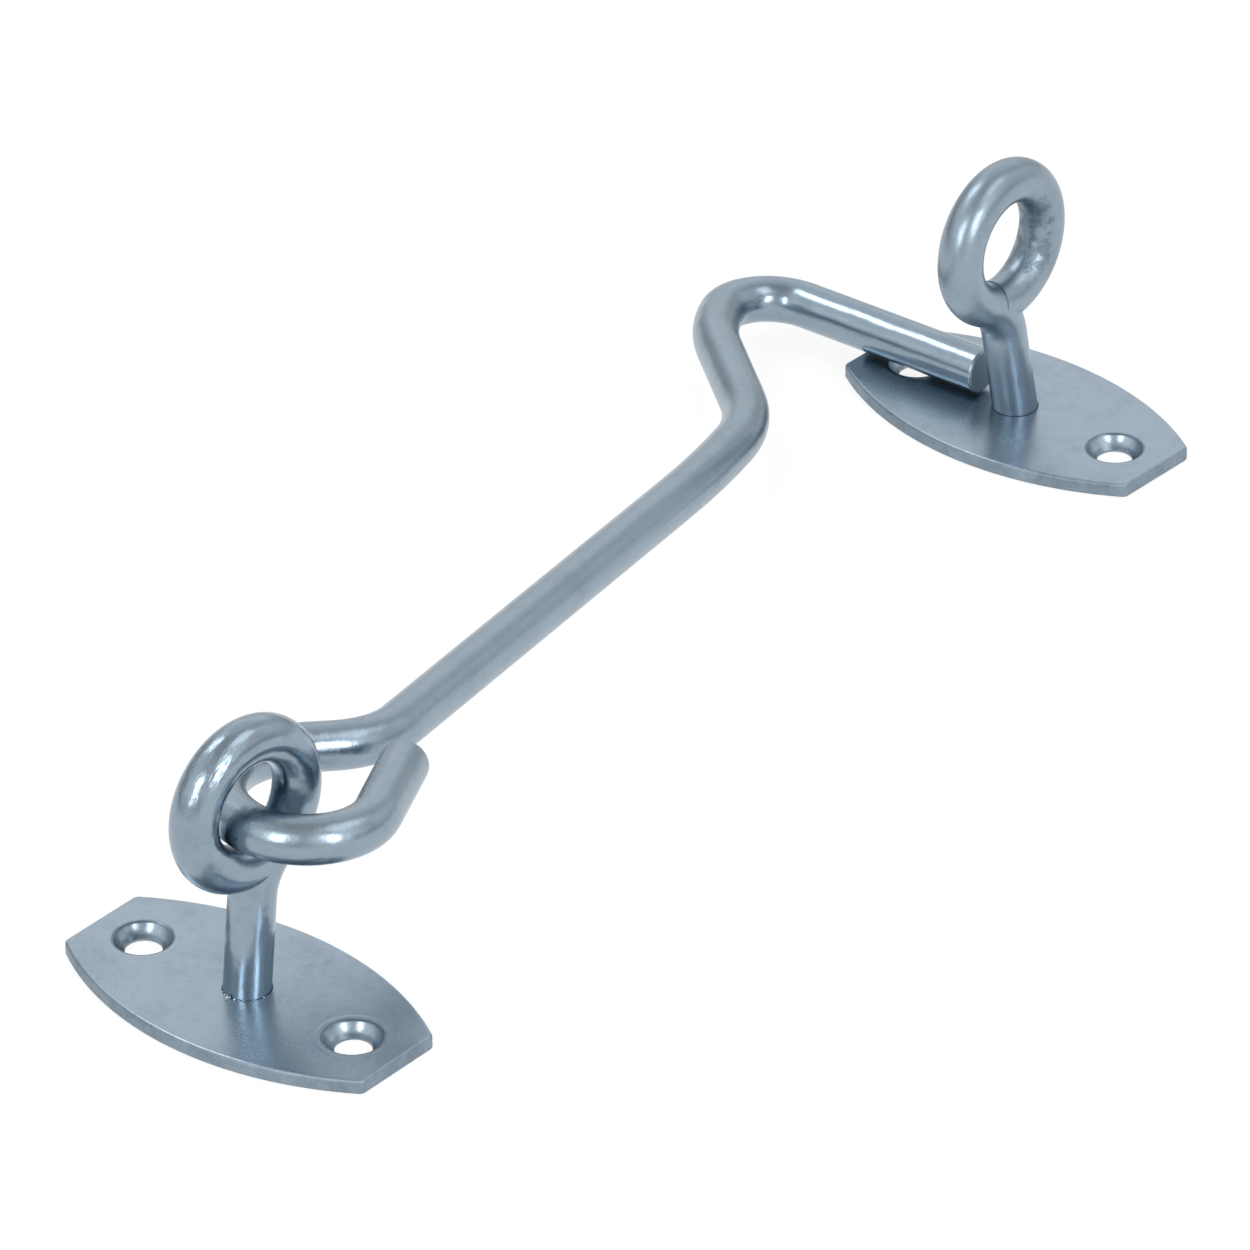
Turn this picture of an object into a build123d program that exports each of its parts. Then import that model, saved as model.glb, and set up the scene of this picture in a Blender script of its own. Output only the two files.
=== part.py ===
from build123d import *
import os
from math import asin, cos, degrees, radians, sin

# A round-rod cabin hook linked into an eye plate, with the catch eye plate that it fastens to.
# The frame: origin at the centre of the front plate on its back face, +Z out of the plates,
# +X from the front plate towards the catch plate, +Y along the front plate. Millimetres.

# Screw plates: a barrel outline between two straight ends
plate_length = 50.0
plate_width = 28.0
plate_end_width = 13.2
plate_thickness = 2.0
plate_corner_radius = 1.1
plate_rim_radius = 0.4
plate_back_rim_radius = 0.3
screw_spacing = 35.2
screw_hole_diameter = 4.8
countersink_diameter = 7.6
countersink_depth = 1.7
countersink_hollow = 0.15
countersink_rim_radius = 0.3
stem_hole_chamfer = 0.12

# Eyes: one rod that rises from the plate, bends aside and closes into a loop
eye_rod_diameter = 6.2
eye_stem_length = 13.05
eye_bend_radius = 8.2
eye_bend_angle = 53.0
eye_loop_play = 2.55
eye_end_short = 1.6
eye_closing_tuck = 0.06
front_eye_lean = 6.3
front_eye_turn = -3.9
front_eye_tilt = 0.0
catch_eye_lean = 10.4
catch_eye_turn = 1.6
catch_eye_tilt = 0.8

# Hook: radii are those of the rod's centreline
hook_rod_diameter = 6.4
tip_end_rounding = 0.5
ring_end_rounding = 1.1
ring_far_radius = 13.7
ring_far_angle = 116.2
ring_near_radius = 9.3
ring_near_angle = 126.1
ring_end_length = 12.2
ring_end_lift = 2.6
neck_length = 3.4
neck_radius = 12.4
neck_angle = 49.1
shank_length = 80.0
shank_bow_radius = 193.0
shank_bow_angle = 5.7
joggle_radius = 27.1
joggle_angle = 30.9
joggle_length = 16.6
shoulder_radius = 27.2
shoulder_angle = 24.7
tip_bend_radius = 7.6
tip_bend_angle = 112.9
tip_length = 28.9

# How the hook lies: linked in the front eye, its tip on the catch plate beside the catch eye
hook_swing = 13.75
seat_angle = 45.3
seat_before_eye = 1.6
seat_gap = 0.15
catch_ahead_of_tip = 0.1
catch_stem_gap = 3.3
catch_turn = -1.6

# Sizes that follow from the ones above
eye_radius = eye_rod_diameter / 2
hook_radius = hook_rod_diameter / 2
eye_loop_radius = eye_radius + hook_radius + eye_loop_play


def screw_hole():
    """What a screw hole takes out: a countersink with a slightly hollow wall above a straight hole."""
    hole_radius = screw_hole_diameter / 2
    top = (countersink_diameter / 2, plate_thickness)
    bottom = (hole_radius, plate_thickness - countersink_depth)
    wall = SagittaArc(top, bottom, countersink_hollow)
    below = Polyline(bottom, (hole_radius, -plate_thickness), (0, -plate_thickness), (0, plate_thickness), top)
    return revolve(Plane.XZ * make_face([wall, below]), Axis.Z)


def screw_plate():
    """The plate lying flat, its length along Y, with two countersunk screw holes."""
    half_length = plate_length / 2
    half_end = plate_end_width / 2
    half_width = plate_width / 2
    right_side = ThreePointArc((half_end, -half_length), (half_width, 0), (half_end, half_length))
    left_side = ThreePointArc((-half_end, half_length), (-half_width, 0), (-half_end, -half_length))
    far_end = Line(right_side @ 1, left_side @ 0)
    near_end = Line(left_side @ 1, right_side @ 0)
    outline = make_face([right_side, far_end, left_side, near_end])
    plate = extrude(outline, plate_thickness)
    plate = fillet(plate.edges().filter_by(Axis.Z), plate_corner_radius)
    plate = fillet(plate.faces().sort_by(Axis.Z)[-1].edges(), plate_rim_radius)
    plate = fillet(plate.faces().sort_by(Axis.Z)[0].edges(), plate_back_rim_radius)
    for side in (-1, 1):
        plate -= Pos(0, side * screw_spacing / 2, 0) * screw_hole()
    mouths = plate.faces().sort_by(Axis.Z)[-1].inner_wires()
    return fillet([edge for mouth in mouths for edge in mouth.edges()], countersink_rim_radius)


def rod(path, diameter):
    """A round rod along a path of lines and tangent arcs."""
    start = Plane(origin=path @ 0, z_dir=path % 0)
    return sweep(start * Circle(diameter / 2), path=path)


def cut_end(path, diameter, rounding):
    """The last stretch of a rod past the end of its path, with the rim of its cut face rounded."""
    stub = Cylinder(diameter / 2, 2 * rounding, align=(Align.CENTER, Align.CENTER, Align.MIN))
    stub = fillet(stub.faces().sort_by(Axis.Z)[-1].edges(), rounding)
    return Plane(origin=path @ 1, z_dir=path % 1) * stub


def loop_centre():
    """Centre of an upright eye's loop, in the eye's plane, measured from the stem's foot."""
    reach = eye_bend_radius + eye_loop_radius
    bend_centre = Vector(eye_bend_radius, eye_stem_length)
    return bend_centre + Vector(-reach, 0).rotate(Axis.Z, -eye_bend_angle)


def loop_angle():
    """How far the loop runs round: its end stops inside the bend, short of where the loop began."""
    return 360 - degrees(eye_end_short / eye_loop_radius)


def eye_place(lean, turn, tilt):
    """Leans and tilts an upright eye about the foot of its stem on the plate's face, then turns it."""
    return Pos(0, 0, plate_thickness) * Rot(0, 0, turn) * Rot(tilt, lean, 0)


def eye(lean, turn, tilt):
    """The bent rod: its stem goes through the plate, and its end closes on the stem."""
    below_face = 2 * plate_thickness
    stem = Line((0, -below_face), (0, eye_stem_length))
    bend = JernArc(stem @ 1, (0, 1), eye_bend_radius, -eye_bend_angle)
    first_half = JernArc(bend @ 1, bend % 1, eye_loop_radius, 180)
    closing_radius = eye_loop_radius - eye_closing_tuck
    second_half = JernArc(first_half @ 1, first_half % 1, closing_radius, loop_angle() - 180)
    rising = rod(Wire([stem, bend, first_half]), eye_rod_diameter)
    closing = rod(Wire([second_half]), eye_rod_diameter)
    upright = Plane.XZ * (rising + closing)
    return split(eye_place(lean, turn, tilt) * upright, Plane.XY, keep=Keep.TOP)


def eye_plate(lean, turn, tilt):
    """A plate with its eye riveted through: two solids that meet on the stem's wall."""
    bent_rod = eye(lean, turn, tilt)
    plate = screw_plate() - bent_rod
    rim = plate.faces().sort_by(Axis.Z)[-1].inner_wires().sort_by_distance((0, 0, plate_thickness))[0]
    return chamfer(rim.edges(), stem_hole_chamfer), bent_rod


def trace(start, heading, steps):
    """Lines and arcs that follow each other smoothly; a step is a length, or a radius and an angle."""
    pieces = []
    here = Vector(*start)
    ahead = Vector(1, 0).rotate(Axis.Z, heading)
    for step in steps:
        if isinstance(step, tuple):
            piece = JernArc(here, ahead, step[0], step[1])
        else:
            piece = Line(here, here + ahead * step)
        pieces.append(piece)
        here = piece @ 1
        ahead = piece % 1
    return pieces


def hook_lines():
    """The flat part of the centreline, from where the ring lies in the eye out to the tip."""
    heading = hook_swing - neck_angle + ring_far_angle
    steps = [
        (ring_far_radius, -ring_far_angle),
        neck_length,
        (neck_radius, neck_angle),
        shank_length,
        (shank_bow_radius, shank_bow_angle),
        (joggle_radius, joggle_angle),
        joggle_length,
        (shoulder_radius, -shoulder_angle),
        (tip_bend_radius, -tip_bend_angle),
        tip_length,
    ]
    return heading, trace((0, 0), heading, steps)


def hook():
    """The hook in its own plane, its ring's seat in the eye at the origin."""
    heading, flat = hook_lines()
    back = Vector(-1, 0).rotate(Axis.Z, heading)
    raised = Vector(0, 0, 1).rotate(Axis((0, 0, 0), back), ring_end_lift)
    near_plane = Plane(origin=(0, 0, 0), x_dir=back, z_dir=raised)
    near = trace((0, 0), 0, [(ring_near_radius, ring_near_angle), ring_end_length])
    near = [near_plane * piece for piece in near]
    long_side = rod(Wire(flat), hook_rod_diameter)
    long_side += cut_end(flat[-1], hook_rod_diameter, tip_end_rounding)
    near_side = rod(Wire(near), hook_rod_diameter)
    near_side += cut_end(near[-1], hook_rod_diameter, ring_end_rounding)
    return long_side + near_side


def front_loop_centre():
    """The point that the hook swings about."""
    upright = Pos(loop_centre().X, 0, loop_centre().Y)
    return (eye_place(front_eye_lean, front_eye_turn, front_eye_tilt) * upright).position


def ring_seat():
    """Where the hook's ring rests in the front eye's loop, below and behind its centre."""
    centre = front_loop_centre()
    play = eye_loop_play - seat_gap
    behind = play * sin(radians(seat_angle))
    below = play * cos(radians(seat_angle))
    return Vector(centre.X - behind, -seat_before_eye, centre.Z - below)


def hook_place():
    """Slopes the hook down from the front eye until its tip lies on the catch plate."""
    seat = ring_seat()
    tip = hook_lines()[1][-1] @ 1
    resting_height = plate_thickness + hook_radius + seat_gap
    slope = degrees(asin((seat.Z - resting_height) / tip.X))
    place = Pos(seat) * Rot(0, slope, 0)
    landing = (place * Pos(tip)).position
    return place, landing


place, landing = hook_place()
front_plate, front_eye = eye_plate(front_eye_lean, front_eye_turn, front_eye_tilt)
catch_plate, catch_eye = eye_plate(catch_eye_lean, catch_eye_turn, catch_eye_tilt)
catch_centre = (landing.X + catch_ahead_of_tip, landing.Y - catch_stem_gap - eye_radius)
catch_place = Pos(*catch_centre) * Rot(0, 0, 180 + catch_turn)

parts = {
    "front_plate": front_plate,
    "front_eye": front_eye,
    "catch_plate": catch_place * catch_plate,
    "catch_eye": catch_place * catch_eye,
    "hook": place * hook(),
}

os.makedirs("parts", exist_ok=True)
for name, shape in parts.items():
    export_step(shape, f"parts/{name}.step")
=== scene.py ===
"""A zinc-plated cabin hook and its two eye plates: finishes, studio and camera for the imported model."""

from math import cos, pi, radians, sin

import bmesh
import bpy
from bpy.props import FloatProperty, FloatVectorProperty, PointerProperty
from mathutils import Matrix, Vector, noise


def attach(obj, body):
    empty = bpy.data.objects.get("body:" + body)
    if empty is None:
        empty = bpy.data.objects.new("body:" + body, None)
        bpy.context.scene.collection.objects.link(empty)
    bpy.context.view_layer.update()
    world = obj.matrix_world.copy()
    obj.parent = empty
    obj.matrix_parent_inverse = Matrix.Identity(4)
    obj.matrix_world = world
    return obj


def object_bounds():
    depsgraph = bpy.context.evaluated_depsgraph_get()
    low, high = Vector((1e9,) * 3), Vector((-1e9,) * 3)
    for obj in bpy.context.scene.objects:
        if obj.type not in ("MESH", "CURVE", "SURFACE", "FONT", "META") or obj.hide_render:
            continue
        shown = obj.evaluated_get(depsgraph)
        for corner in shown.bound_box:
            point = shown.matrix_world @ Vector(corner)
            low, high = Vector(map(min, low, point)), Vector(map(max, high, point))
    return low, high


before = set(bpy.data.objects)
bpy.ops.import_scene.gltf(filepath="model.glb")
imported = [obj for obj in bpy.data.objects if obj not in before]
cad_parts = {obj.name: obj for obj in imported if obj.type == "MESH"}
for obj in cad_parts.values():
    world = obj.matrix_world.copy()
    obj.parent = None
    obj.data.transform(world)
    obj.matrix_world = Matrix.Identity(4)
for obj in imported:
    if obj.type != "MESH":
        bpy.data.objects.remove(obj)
cad_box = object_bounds()

bl_info = {
    "name": "Cabin Hook",
    "version": (1, 0, 0),
    "blender": (4, 5, 0),
    "location": "3D View > Sidebar > Cabin Hook",
    "description": "Zinc finishes and a pale studio for a cabin hook with two eye plates",
    "category": "Object",
}

# Lengths are in metres and angles in degrees, unless a comment says otherwise.
# Plates: the place of each one's centre, and its turn
PLATES = {"front_plate": (0.0, 0.0, 0.0), "catch_plate": (0.172232, 0.014448, -1.6)}
PLATE_TOP = 0.002
# The band of the plates' sheared sides: rougher zinc with painted shade.
PLATE_SIDE = (0.00198, 0.00188)
LENGTHWISE = (1.0, 0.06, 1.0)
CROSSWISE = (0.08, 1.0, 1.0)

# Screw holes: how far out they are, and what lies how far from their axes. A ring is its radius,
# half width and softness.
HOLE_OFFSET = 0.0176
# Each hole's foot gets painted shade, from the first radius in to the second.
HOLE_FOOT = (0.0031, 0.0027)
# The mouth ring gets painted shade; the lip ring below is a relief.
HOLE_MOUTH = (0.0039, 0.0001, 0.0002)
HOLE_LIP = (0.0045, 0.0001, 0.0004)
PAST_MOUTH = (0.0040, 0.0044)

# Eyes: the centre of each one's loop, and the places of marks, measured from it. A pair of places runs
# from where a mark starts to where it is full.
LOOP_CENTRES = {
    "front_eye": (0.000876, -0.00006, 0.028732),
    "catch_eye": (0.169445, 0.01482, 0.028598),
}
CRINKLED_X = (-0.001, -0.005)
CRINKLED_Z = (-0.007, -0.002)
RIGHT_LIMB = (0.0015, 0.006)
INSIDE_LOOP = (0.00845, 0.00725)
INSIDE_LOOP_X = (0.0005, 0.0035)
STEM_RADIUS = 0.0031
STEM_TOP = (0.0155, 0.0195)

# Beads of zinc at the foot of the front stem: direction round it, distance out from it, and radius
FOOT_BEADS = (
    (177, 0.00030, 0.00040),
    (163, 0.00012, 0.00020),
    (192, 0.00010, 0.00018),
    (203, 0.00014, 0.00014),
    (214, 0.00008, 0.00018),
    (150, 0.00010, 0.00014),
    (236, 0.00010, 0.00015),
    (262, 0.00012, 0.00017),
)
BEAD_HEIGHT = 0.8
BEAD_RISE = 0.3
BEAD_LUMPS = 3000
BEAD_LUMP_DEPTH = 0.3

# Hook: where along X its ring gives way to the shank, the shank to the bends, and the bends to the tip
RING_TO_SHANK = (0.026, 0.034)
SHANK_TO_BENDS = (0.122, 0.136)
BENDS_TO_TIP = (0.163, 0.167)
SHANK_TURN = 13.75
SHANK_FALL = 0.127
TIP_DIRECTION = (0.0480, -0.9988, 0.0)
TIP_END = (-0.01176, -0.01161)

# Patterns in the zinc's colour: features to the metre, detail and roughness
CLOUDS = (140, 6, 0.62)
STAINS = (900, 4, 0.65)
SPECKS = (2300, 2, 0.5)
BLOTCHES_INSIDE_LOOP = (560, 5, 0.7)

# Where each pattern starts to show and where it is full. A crease is where little of the space is open, and
# there the zinc's colour gets painted shade.
CLOUDY = (0.35, 0.72)
STAINED = (0.42, 0.75)
SPECKLED = (0.66, 0.76)
BLOTCHED = (0.47, 0.6)
CREASED = (0.75, 0.2)
CREASE_SAMPLES = 8

# How much each mark darkens the colour, and how much darkening is full
CLOUD_DULLS = 0.55
STAIN_DULLS = 0.35
SPECK_DULLS = 0.5
# The crease, mouth, side and hole foot marks are painted shade, and the cut end's negative value is painted
# light.
CREASE_PAINTED_SHADE = 0.25
MOUTH_PAINTED_SHADE = 0.8
SIDE_PAINTED_SHADE = 0.4
HOLE_FOOT_PAINTED_SHADE = 0.6
BLOTCH_DULLS = 0.6
INSIDE_LOOP_DULLS = 0.1
RIGHT_LIMB_DULLS = 0.15
CUT_END_PAINTED_LIGHT = -0.25
FULLY_DULL = 1.15

# How much rougher each mark is than the zinc round it
CLEAN_ZINC_ROUGHER = -0.03
CLOUD_ROUGHER = 0.06
STAIN_ROUGHER = 0.06
CREASE_ROUGHER = 0.12
SIDE_ROUGHER = 0.26
EYE_ROUGHER = {"front_eye": -0.07, "catch_eye": 0.03}
DULL_EYE_ROUGHER = 0.12
BEAD_ROUGHER = -0.08
RING_ROUGHER = -0.03
TIP_ROUGHER = -0.07
CUT_END_ROUGHER = 0.4

# Relief of the zinc: features to the metre, detail, roughness, and height in millimetres
PLATE_WAVES = (120, 2, 0.5, 0.08)
PLATE_GRAIN = (600, 3, 0.5, 0.003)
LONG_SCUFFS = (5200, 3, 0.5, 0.004)
CROSS_SCUFFS = (3600, 3, 0.5, 0.003)
DRAWN_LINES = (2600, 3, 0.5, 0.014)
EYE_WAVES = (260, 2, 0.5, 0.12)
HOOK_WAVES = (230, 2, 0.5, 0.12)
HOOK_GRAIN = (1400, 3, 0.5, 0.008)
HOOK_PITS = (900, 3, 0.6, 0.03)
BEAD_RIPPLES = (3000, 2, 0.5, 0.03)
CRINKLES = {"front_eye": (1500, 3, 0.6, 0.10), "catch_eye": (1500, 3, 0.6, 0.03)}
HOLE_LIP_HEIGHT = 0.02
BLOTCH_HEIGHT = 0.03
MILLIMETRE = 0.001

# How far the drawn lines and the crinkles are stretched out: round a loop, in metres to the radian, and
# along a rod, as a share
LOOP_LINES = 0.0005
LOOP_CRINKLES = 0.0035
STEM_LINES = 0.05
HOOK_LINES = 0.03

# The studio's soft panels: azimuth, elevation, half width and level. The middle quarter is at its full level.
PANEL_MIDDLE = 0.25
SOFT_PANELS = (
    (9, 12, 34, 0.13),
    (39, 12, 34, 0.39),
    (69, 12, 34, 0.19),
    (159, 12, 34, 0.48),
    (189, 12, 34, 0.35),
    (219, 12, 34, 0.20),
    (249, 12, 34, 0.63),
    (279, 12, 34, 0.41),
    (339, 12, 34, 0.59),
    (39, 40, 40, 0.74),
    (84, 40, 40, 0.28),
    (129, 40, 40, 0.76),
    (174, 40, 40, 0.41),
    (219, 40, 40, 0.19),
    (264, 40, 40, 0.58),
    (309, 40, 40, 0.53),
    (354, 40, 40, 0.21),
    (0, 90, 36, 0.30),
)

# Lamps: azimuth, elevation, width and height
LAMPS = {
    "back_lamp": (94, 58, 0.42, 0.3),
    "side_lamp": (300, 60, 0.7, 0.5),
    "left_front_lamp": (192, 30, 0.25, 0.6),
    "right_front_lamp": (254, 28, 0.22, 0.6),
}
LAMP_DISTANCE = 1.2

FLOOR_DROP = 0.0001
FLOOR_GLOW = 1.05

# The camera, its lens in millimetres
CAMERA_PLACE = (-0.763791, -0.719260, 0.701367)
CAMERA_TURN = (58.30117, 0.72149, -49.77129)
CAMERA_LENS = 291.2
CAMERA_REACH = (0.05, 50)


class Graph:
    """The nodes of one material or world, added one after another."""

    def __init__(self, tree):
        self.tree = tree
        tree.nodes.clear()

    def add(self, kind, settings=None, sockets=None, output=0):
        """Adds a node: first its settings, then the values or links of its sockets."""
        node = self.tree.nodes.new(kind)
        for name, value in (settings or {}).items():
            setattr(node, name, value)
        for name, value in (sockets or {}).items():
            if isinstance(value, Value):
                self.tree.links.new(value.socket, node.inputs[name])
            else:
                node.inputs[name].default_value = value
        return Value(self, node.outputs[output]) if len(node.outputs) else None

    def outputs(self, kind, sockets=None):
        """Adds a node and gives all its outputs by their names."""
        node = self.add(kind, None, sockets).socket.node
        return {out.name: Value(self, out) for out in node.outputs}

    def sign(self, operation, *values):
        """One Math node on up to three values."""
        return self.add("ShaderNodeMath", {"operation": operation}, dict(enumerate(values)))

    def vector(self, operation, first, second, output=0):
        """One Vector Math node on two vectors."""
        return self.add("ShaderNodeVectorMath", {"operation": operation}, {0: first, 1: second}, output)

    def toward(self, first, second):
        """How far two directions agree, from -1 to 1."""
        return self.vector("DOT_PRODUCT", first, second, output="Value")

    def place(self):
        """Where a point lies on its object. Every object here sits at the origin."""
        return self.add("ShaderNodeTexCoord", output="Object")

    def point(self, x, y, z):
        """A vector from three values."""
        return self.add("ShaderNodeCombineXYZ", None, {"X": x, "Y": y, "Z": z})

    def split(self, vector):
        """A vector's three values."""
        return self.outputs("ShaderNodeSeparateXYZ", {"Vector": vector}).values()

    def noise(self, where, scale, detail, rough):
        """Soft cloudy noise from 0 to 1. The scale is in features to the metre."""
        return self.add(
            "ShaderNodeTexNoise", {"noise_dimensions": "3D"},
            {"Vector": where, "Scale": scale, "Detail": detail, "Roughness": rough},
        )

    def relief(self, where, scale, detail, rough, height):
        """Cloudy noise of a given height in millimetres."""
        return self.noise(where, scale, detail, rough) * height

    def blend(self, share, first, second):
        """A colour between two, by a share from 0 to 1."""
        sockets = {"Factor": share, 6: (*first, 1), 7: (*second, 1)}
        return self.add("ShaderNodeMix", {"data_type": "RGBA"}, sockets, output=2)


class Value:
    """A socket that the arithmetic signs work on. Each sign adds one Math node."""

    def __init__(self, graph, socket):
        self.graph = graph
        self.socket = socket

    def __add__(self, other):
        return self.graph.sign("ADD", self, other)

    def __sub__(self, other):
        return self.graph.sign("SUBTRACT", self, other)

    def __rsub__(self, other):
        return self.graph.sign("SUBTRACT", other, self)

    def __mul__(self, other):
        return self.graph.sign("MULTIPLY", self, other)

    def __pow__(self, other):
        return self.graph.sign("POWER", self, other)

    __radd__ = __add__
    __rmul__ = __mul__

    def between(self, low, high):
        """Rises smoothly from 0 at the low value to 1 at the high one. Falls if low is above high."""
        if low > high:
            return 1 - self.between(high, low)
        return self.graph.add(
            "ShaderNodeMapRange", {"interpolation_type": "SMOOTHSTEP"},
            {"Value": self, "From Min": low, "From Max": high},
        )


def metre(name, default, description):
    """A length that a user may change."""
    return FloatProperty(
        name=name, description=description, default=default, unit="LENGTH", precision=4,
    )


def share(name, default, description):
    """A number from 0 to 1 that a user may change."""
    return FloatProperty(
        name=name, description=description, default=default, min=0, max=1, subtype="FACTOR",
    )


def colour(name, default, description):
    """A colour that a user may change."""
    return FloatVectorProperty(
        name=name, description=description, default=default, min=0, max=1, subtype="COLOR",
    )


def brightness(name, default, description):
    """How bright a lamp's face looks, where 1 is a white surface in plain light."""
    return FloatProperty(
        name=name, description=description, default=default, min=0, soft_max=10,
    )


class CabinHookFinish(bpy.types.PropertyGroup):
    """The zinc's colours and gloss."""

    plate_zinc: colour("Plate zinc", (0.340, 0.418, 0.490), "Colour of the plates' satin zinc")
    rod_zinc: colour("Rod zinc", (0.292, 0.367, 0.434), "Colour of the bright zinc on the rods")
    # The colour that stains and blotches darken towards, and the painted shade too.
    stain_and_shade_zinc: colour("Dull zinc", (0.17, 0.22, 0.27), "Colour of the zinc in creases and blotches")
    plate_roughness: share("Plate roughness", 0.25, "How blurred the plates' reflections are")
    rod_roughness: share("Rod roughness", 0.27, "How blurred the rods' reflections are")
    blotches: share("Blotches", 0.6, "How strongly the zinc's colour varies")
    # The reach of the painted shade round creases.
    crease_reach: metre("Crease reach", 0.0010, "How far from a crease the zinc is dull")


class CabinHookStage(bpy.types.PropertyGroup):
    """The studio round the hook."""

    floor_size: metre("Floor size", 12.0, "Width of the floor")
    floor_colour: colour("Floor colour", (0.93, 0.93, 0.93), "Colour of the floor")
    floor_white: share("Floor white", 0.8, "How much of the floor is plain white, in reflections too")
    sky: brightness("Sky", 0.39, "How bright the studio is between its soft panels")
    panels: brightness("Soft panels", 0.86, "How bright the soft panels round the studio are")
    back_lamp: brightness("Back lamp", 4.2, "Lamp behind the hook, which draws the line along its tip")
    side_lamp: brightness("Side lamp", 1.1, "Large lamp high on the right")
    left_front_lamp: brightness("Left front lamp", 6.6, "Lamp to the left of the camera")
    right_front_lamp: brightness("Right front lamp", 7.4, "Lamp to the right of the camera")


def new_material(name):
    """A material of that name and its empty graph."""
    material = bpy.data.materials.new(name)
    material.use_nodes = True
    return material, Graph(material.node_tree)


def give(name, material):
    """Puts a material on a CAD node."""
    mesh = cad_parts[name].data
    mesh.materials.clear()
    mesh.materials.append(material)


def ring_mask(away, radius, half_width, softness):
    """1 on a ring round a point, by the distance from it."""
    inner = away.between(radius - half_width - softness, radius - half_width)
    return inner * away.between(radius + half_width + softness, radius + half_width)


def zinc(graph, finish, place, zinc_colour, roughness, height, darkening=0.0, rough=0.0):
    """Zinc plating: cloudy colour and specks, painted shade in creases, which are also rougher, and a relief
    that breaks up reflections. The darkening given adds each part's own marks, among them painted shade, and
    painted light where it is negative.
    """
    clouds = graph.noise(place, *CLOUDS)
    stains = graph.noise(place, *STAINS)
    specks = graph.noise(place, *SPECKS)
    open_space = graph.add(
        "ShaderNodeAmbientOcclusion", {"samples": CREASE_SAMPLES},
        {"Distance": finish.crease_reach}, output="AO",
    )
    # Painted shade: the colour darkens in creases, where little space is open.
    crease = open_space.between(*CREASED)
    spread = clouds.between(*CLOUDY) * CLOUD_DULLS + stains.between(*STAINED) * STAIN_DULLS
    spread = spread + specks.between(*SPECKLED) * SPECK_DULLS
    shade = (spread * finish.blotches + crease * CREASE_PAINTED_SHADE + darkening).between(0, FULLY_DULL)
    tone = graph.blend(shade, zinc_colour, finish.stain_and_shade_zinc)
    gloss = roughness + CLEAN_ZINC_ROUGHER + clouds * CLOUD_ROUGHER + stains * STAIN_ROUGHER
    gloss = gloss + crease * CREASE_ROUGHER + rough
    bump = graph.add(
        "ShaderNodeBump", None,
        {"Strength": 1.0, "Distance": MILLIMETRE, "Height": height},
    )
    surface = graph.add(
        "ShaderNodeBsdfPrincipled", None,
        {"Base Color": tone, "Metallic": 1.0, "Roughness": gloss, "Normal": bump},
    )
    graph.add("ShaderNodeOutputMaterial", None, {"Surface": surface})


def from_screw_hole(graph, x, y, turn):
    """How far a point of a plate lies from the axis of the nearer screw hole."""
    turned = radians(turn)
    across = x * cos(turned) + y * sin(turned)
    along = graph.sign("ABSOLUTE", y * cos(turned) - x * sin(turned)) - HOLE_OFFSET
    return (across * across + along * along) ** 0.5


def plate_finish(finish, name):
    """Satin zinc on pressed sheet, with fine scuffs, rough sheared sides and a lip round each screw hole, and
    painted shade on the sides, round each hole's mouth and in its foot.
    """
    material, graph = new_material(name + "_zinc")
    place = graph.place()
    centre_x, centre_y, turn = PLATES[name]
    x, y, z = graph.split(graph.vector("SUBTRACT", place, (centre_x, centre_y, 0)))
    away = from_screw_hole(graph, x, y, turn)
    side = z.between(*PLATE_SIDE) * away.between(*PAST_MOUTH)
    lengthwise = graph.vector("MULTIPLY", place, LENGTHWISE)
    crosswise = graph.vector("MULTIPLY", place, CROSSWISE)
    scuffs = graph.relief(lengthwise, *LONG_SCUFFS) + graph.relief(crosswise, *CROSS_SCUFFS)
    grain = graph.relief(place, *PLATE_WAVES) + graph.relief(place, *PLATE_GRAIN)
    height = scuffs + grain + ring_mask(away, *HOLE_LIP) * HOLE_LIP_HEIGHT
    # Painted shade round each hole's mouth, on the sheared sides and in each hole's foot.
    darkening = ring_mask(away, *HOLE_MOUTH) * MOUTH_PAINTED_SHADE + side * SIDE_PAINTED_SHADE
    darkening = darkening + away.between(*HOLE_FOOT) * HOLE_FOOT_PAINTED_SHADE
    rough = side * SIDE_ROUGHER
    zinc(graph, finish, place, finish.plate_zinc, finish.plate_roughness, height, darkening, rough)
    return material


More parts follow.
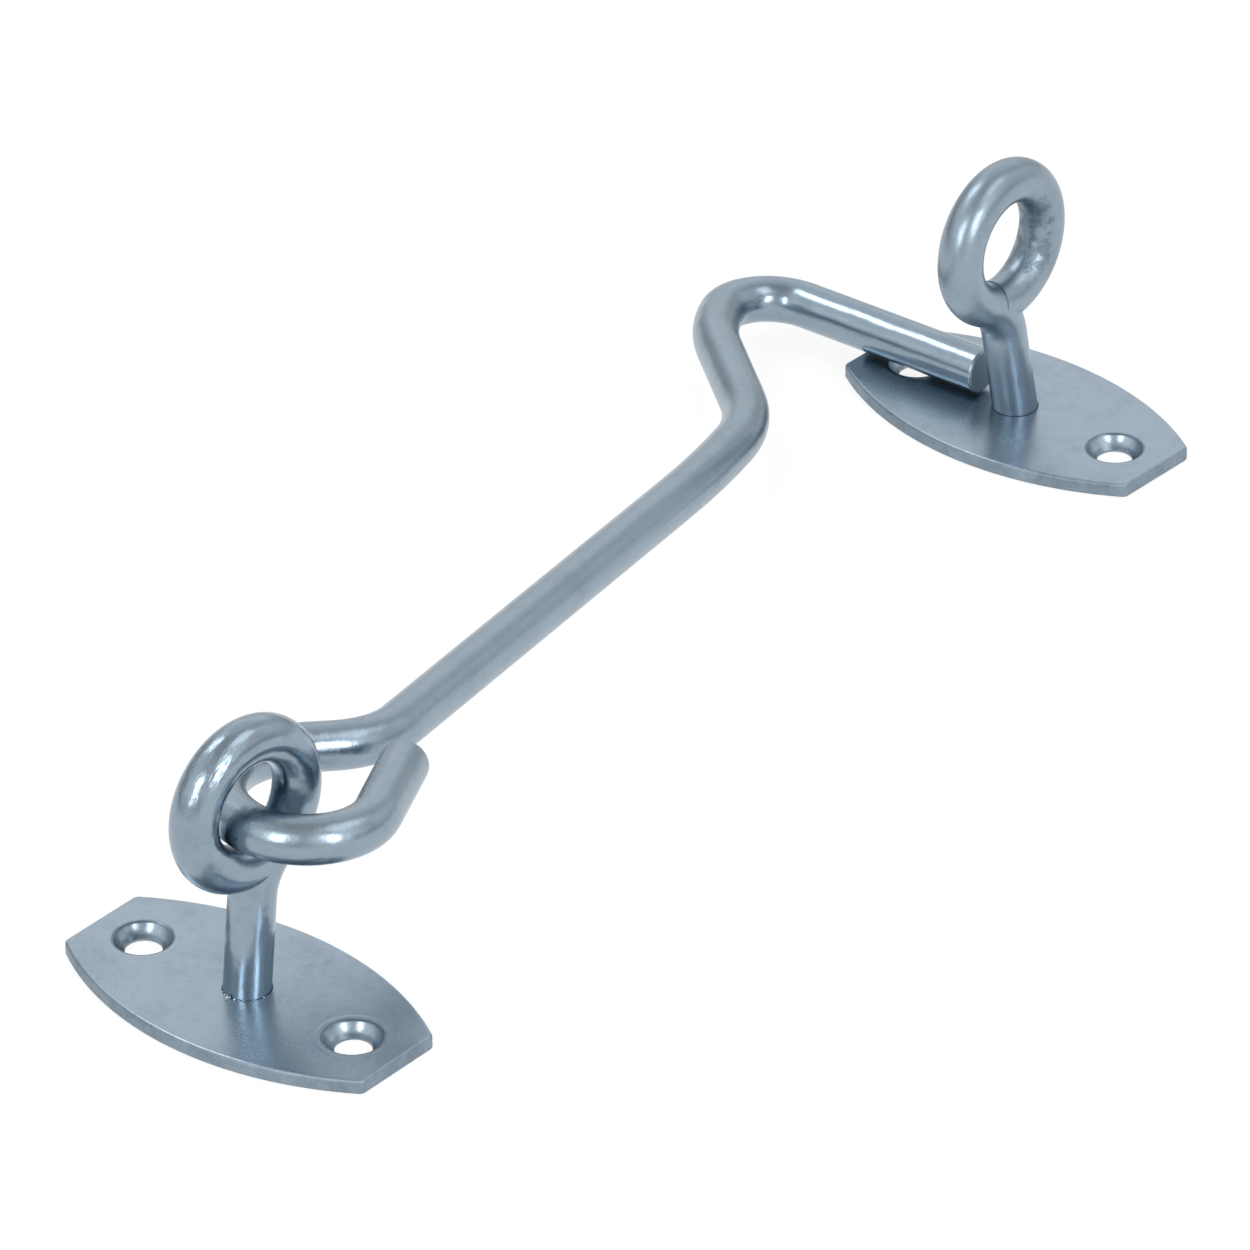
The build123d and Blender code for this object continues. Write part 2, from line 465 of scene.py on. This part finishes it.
def eye_finish(finish, name):
    """Bright zinc on a drawn rod, its fine lines running up the stem and round the loop."""
    material, graph = new_material(name + "_zinc")
    place = graph.place()
    x, y, z = graph.split(graph.vector("SUBTRACT", place, LOOP_CENTRES[name]))
    out = (x * x + z * z) ** 0.5
    turn = graph.sign("ARCTAN2", z, x)
    round_loop = graph.relief(graph.point(out, y, turn * LOOP_LINES), *DRAWN_LINES)
    up_stem = graph.relief(graph.point(x, y, z * STEM_LINES), *DRAWN_LINES)
    on_loop = (z + LOOP_CENTRES[name][2]).between(*STEM_TOP)
    lines = round_loop * on_loop + up_stem * (1 - on_loop)
    crinkled = x.between(*CRINKLED_X) * z.between(*CRINKLED_Z)
    crinkles = graph.relief(graph.point(out, y, turn * LOOP_CRINKLES), *CRINKLES[name]) * crinkled
    height = lines + crinkles + graph.relief(place, *EYE_WAVES)
    darkening = 0.0
    if name == "catch_eye":
        inside = out.between(*INSIDE_LOOP) * x.between(*INSIDE_LOOP_X)
        blotches = graph.noise(place, *BLOTCHES_INSIDE_LOOP).between(*BLOTCHED) * inside
        darkening = blotches * BLOTCH_DULLS + inside * INSIDE_LOOP_DULLS
        darkening = darkening + x.between(*RIGHT_LIMB) * RIGHT_LIMB_DULLS
        height = height + blotches * BLOTCH_HEIGHT
    roughness = finish.rod_roughness + EYE_ROUGHER[name]
    rough = darkening * DULL_EYE_ROUGHER
    zinc(graph, finish, place, finish.rod_zinc, roughness, height, darkening, rough)
    return material


def bead_finish(finish):
    """Bright zinc that ran and set, with small ripples."""
    material, graph = new_material("bead_zinc")
    place = graph.place()
    ripples = graph.relief(place, *BEAD_RIPPLES)
    zinc(graph, finish, place, finish.plate_zinc, finish.rod_roughness + BEAD_ROUGHER, ripples)
    return material


def hook_finish(finish):
    """Bright zinc on a drawn rod, with fine lines along the shank and the tip, and a rough cut end that gets
    painted light.
    """
    material, graph = new_material("hook_zinc")
    place = graph.place()
    x, y, z = graph.split(place)
    turned = radians(SHANK_TURN)
    ahead = x * cos(turned) + y * sin(turned)
    aside = y * cos(turned) - x * sin(turned)
    above = z + ahead * SHANK_FALL
    along_shank = graph.relief(graph.point(ahead * HOOK_LINES, aside, above), *DRAWN_LINES)
    along_tip = graph.relief(graph.point(x, y * HOOK_LINES, z), *DRAWN_LINES)
    past_ring = x.between(*RING_TO_SHANK)
    on_shank = past_ring * (1 - x.between(*SHANK_TO_BENDS))
    on_tip = x.between(*BENDS_TO_TIP)
    elsewhere = 1 - on_shank - on_tip
    cut = graph.toward(place, TIP_DIRECTION).between(*TIP_END) * on_tip
    lines = along_shank * on_shank + along_tip * on_tip
    grain = graph.relief(place, *HOOK_GRAIN) * elsewhere
    pits = graph.relief(place, *HOOK_PITS) * (elsewhere + cut)
    height = lines + grain + pits + graph.relief(place, *HOOK_WAVES)
    # Painted light: the cut end's colour is made lighter than the zinc round it.
    darkening = cut * CUT_END_PAINTED_LIGHT
    rough = cut * CUT_END_ROUGHER + on_tip * TIP_ROUGHER + (1 - past_ring) * RING_ROUGHER
    zinc(graph, finish, place, finish.rod_zinc, finish.rod_roughness, height, darkening, rough)
    return material


def foot_beads(finish):
    """Beads that the zinc bath left where the front stem meets its plate, the largest a drop."""
    shape = bmesh.new()
    for azimuth, out, radius in FOOT_BEADS:
        centre = direction(azimuth, 0) * (STEM_RADIUS + out)
        centre.z = PLATE_TOP + radius * BEAD_RISE
        place = Matrix.Translation(centre) @ Matrix.Diagonal((1, 1, BEAD_HEIGHT, 1))
        bead = bmesh.ops.create_icosphere(shape, subdivisions=4, radius=radius, matrix=place)
        for vertex in bead["verts"]:
            away = vertex.co - centre
            vertex.co += away * noise.noise(vertex.co * BEAD_LUMPS) * BEAD_LUMP_DEPTH
    for face in shape.faces:
        face.smooth = True
    mesh = bpy.data.meshes.new("foot_beads")
    shape.to_mesh(mesh)
    shape.free()
    mesh.materials.append(bead_finish(finish))
    beads = link(bpy.data.objects.new("foot_beads", mesh))
    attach(beads, "eye_plates")


def link(thing):
    """Puts an object in the scene."""
    bpy.context.scene.collection.objects.link(thing)
    return thing


def direction(azimuth, elevation):
    """The direction at an angle round from +X and an angle above the floor."""
    turn = radians(azimuth)
    rise = radians(elevation)
    return Vector((cos(turn) * cos(rise), sin(turn) * cos(rise), sin(rise)))


def lamp(name, azimuth, elevation, width, height, level):
    """A soft rectangular lamp that faces the hook. Its level is how bright its face looks."""
    data = bpy.data.lights.new(name, "AREA")
    data.shape = "RECTANGLE"
    data.size = width
    data.size_y = height
    data.energy = level * width * height * pi
    centre = (cad_box[0] + cad_box[1]) / 2
    away = direction(azimuth, elevation)
    stand = link(bpy.data.objects.new(name, data))
    stand.location = centre + away * LAMP_DISTANCE
    stand.rotation_euler = away.to_track_quat("Z", "Y").to_euler()
    stand.visible_camera = False


def floor(stage):
    """A pale floor that keeps the hook's shadow."""
    half = stage.floor_size / 2
    corners = [(-half, -half, 0), (half, -half, 0), (half, half, 0), (-half, half, 0)]
    mesh = bpy.data.meshes.new("floor")
    mesh.from_pydata(corners, [], [(0, 1, 2, 3)])
    ground = link(bpy.data.objects.new("floor", mesh))
    ground.location.z = -FLOOR_DROP
    material, graph = new_material("floor")
    ray = graph.outputs("ShaderNodeLightPath")
    seen = ray["Is Camera Ray"] + ray["Is Glossy Ray"] + ray["Is Transmission Ray"]
    cloth = graph.add("ShaderNodeBsdfDiffuse", None, {"Color": (*stage.floor_colour, 1)})
    white = graph.add("ShaderNodeEmission", None, {"Color": (1, 1, 1, 1), "Strength": FLOOR_GLOW})
    mixed = graph.add("ShaderNodeMixShader", None, {0: seen * stage.floor_white, 1: cloth, 2: white})
    graph.add("ShaderNodeOutputMaterial", None, {"Surface": mixed})
    mesh.materials.append(material)


def sky(stage):
    """Even light all round, with soft panels that the bright zinc reflects."""
    world = bpy.data.worlds.new("studio")
    bpy.context.scene.world = world
    world.use_nodes = True
    graph = Graph(world.node_tree)
    view = graph.add("ShaderNodeTexCoord", output="Generated")
    panels = 0
    for azimuth, elevation, reach, level in SOFT_PANELS:
        near = graph.toward(view, direction(azimuth, elevation))
        edge, middle = cos(radians(reach)), cos(radians(reach * PANEL_MIDDLE))
        panels = near.between(edge, middle) * level + panels
    strength = panels * stage.panels + stage.sky
    background = graph.add("ShaderNodeBackground", None, {"Strength": strength})
    graph.add("ShaderNodeOutputWorld", None, {"Surface": background})


def camera():
    """The camera at the photograph's place."""
    data = bpy.data.cameras.new("camera")
    data.lens = CAMERA_LENS
    data.clip_start, data.clip_end = CAMERA_REACH
    viewer = link(bpy.data.objects.new("camera", data))
    viewer.location = CAMERA_PLACE
    viewer.rotation_euler = [radians(turn) for turn in CAMERA_TURN]
    bpy.context.scene.camera = viewer


class FinishPlates(bpy.types.Operator):
    """Gives both screw plates their satin zinc."""

    bl_idname = "cabin_hook.finish_plates"
    bl_label = "Finish the plates"

    def execute(self, context):
        for name in PLATES:
            give(name, plate_finish(context.scene.cabin_hook_finish, name))
        return {"FINISHED"}


class FinishEyes(bpy.types.Operator):
    """Gives both eyes their bright zinc."""

    bl_idname = "cabin_hook.finish_eyes"
    bl_label = "Finish the eyes"

    def execute(self, context):
        for name in LOOP_CENTRES:
            give(name, eye_finish(context.scene.cabin_hook_finish, name))
        return {"FINISHED"}


class AddFootBeads(bpy.types.Operator):
    """Adds the beads of zinc at the foot of the front stem."""

    bl_idname = "cabin_hook.add_foot_beads"
    bl_label = "Add the foot beads"

    def execute(self, context):
        foot_beads(context.scene.cabin_hook_finish)
        return {"FINISHED"}


class FinishHook(bpy.types.Operator):
    """Gives the hook its bright zinc."""

    bl_idname = "cabin_hook.finish_hook"
    bl_label = "Finish the hook"

    def execute(self, context):
        give("hook", hook_finish(context.scene.cabin_hook_finish))
        return {"FINISHED"}


class SetStage(bpy.types.Operator):
    """Lays the floor and sets up the sky, the lamps and the camera."""

    bl_idname = "cabin_hook.set_stage"
    bl_label = "Set the stage"

    def execute(self, context):
        stage = context.scene.cabin_hook_stage
        floor(stage)
        sky(stage)
        for name, stand in LAMPS.items():
            lamp(name, *stand, getattr(stage, name))
        camera()
        context.scene.view_settings.view_transform = "Standard"
        return {"FINISHED"}


OPERATORS = (FinishPlates, FinishEyes, AddFootBeads, FinishHook, SetStage)


class CabinHookPanel(bpy.types.Panel):
    """Lists the settings and the steps that dress the cabin hook."""

    bl_idname = "VIEW3D_PT_cabin_hook"
    bl_label = "Cabin Hook"
    bl_space_type = "VIEW_3D"
    bl_region_type = "UI"
    bl_category = "Cabin Hook"

    def draw(self, context):
        for group in (context.scene.cabin_hook_finish, context.scene.cabin_hook_stage):
            for name in group.bl_rna.properties.keys():
                if name not in ("rna_type", "name"):
                    self.layout.prop(group, name)
        for operator in OPERATORS:
            self.layout.operator(operator.bl_idname)


CLASSES = (CabinHookFinish, CabinHookStage, *OPERATORS, CabinHookPanel)


def register():
    for cls in CLASSES:
        bpy.utils.register_class(cls)
    bpy.types.Scene.cabin_hook_finish = PointerProperty(type=CabinHookFinish)
    bpy.types.Scene.cabin_hook_stage = PointerProperty(type=CabinHookStage)


def unregister():
    del bpy.types.Scene.cabin_hook_stage
    del bpy.types.Scene.cabin_hook_finish
    for cls in reversed(CLASSES):
        bpy.utils.unregister_class(cls)


def main():
    register()
    bpy.ops.cabin_hook.finish_plates()
    bpy.ops.cabin_hook.finish_eyes()
    bpy.ops.cabin_hook.add_foot_beads()
    bpy.ops.cabin_hook.finish_hook()
    bpy.ops.cabin_hook.set_stage()


if __name__ == "__main__":
    main()
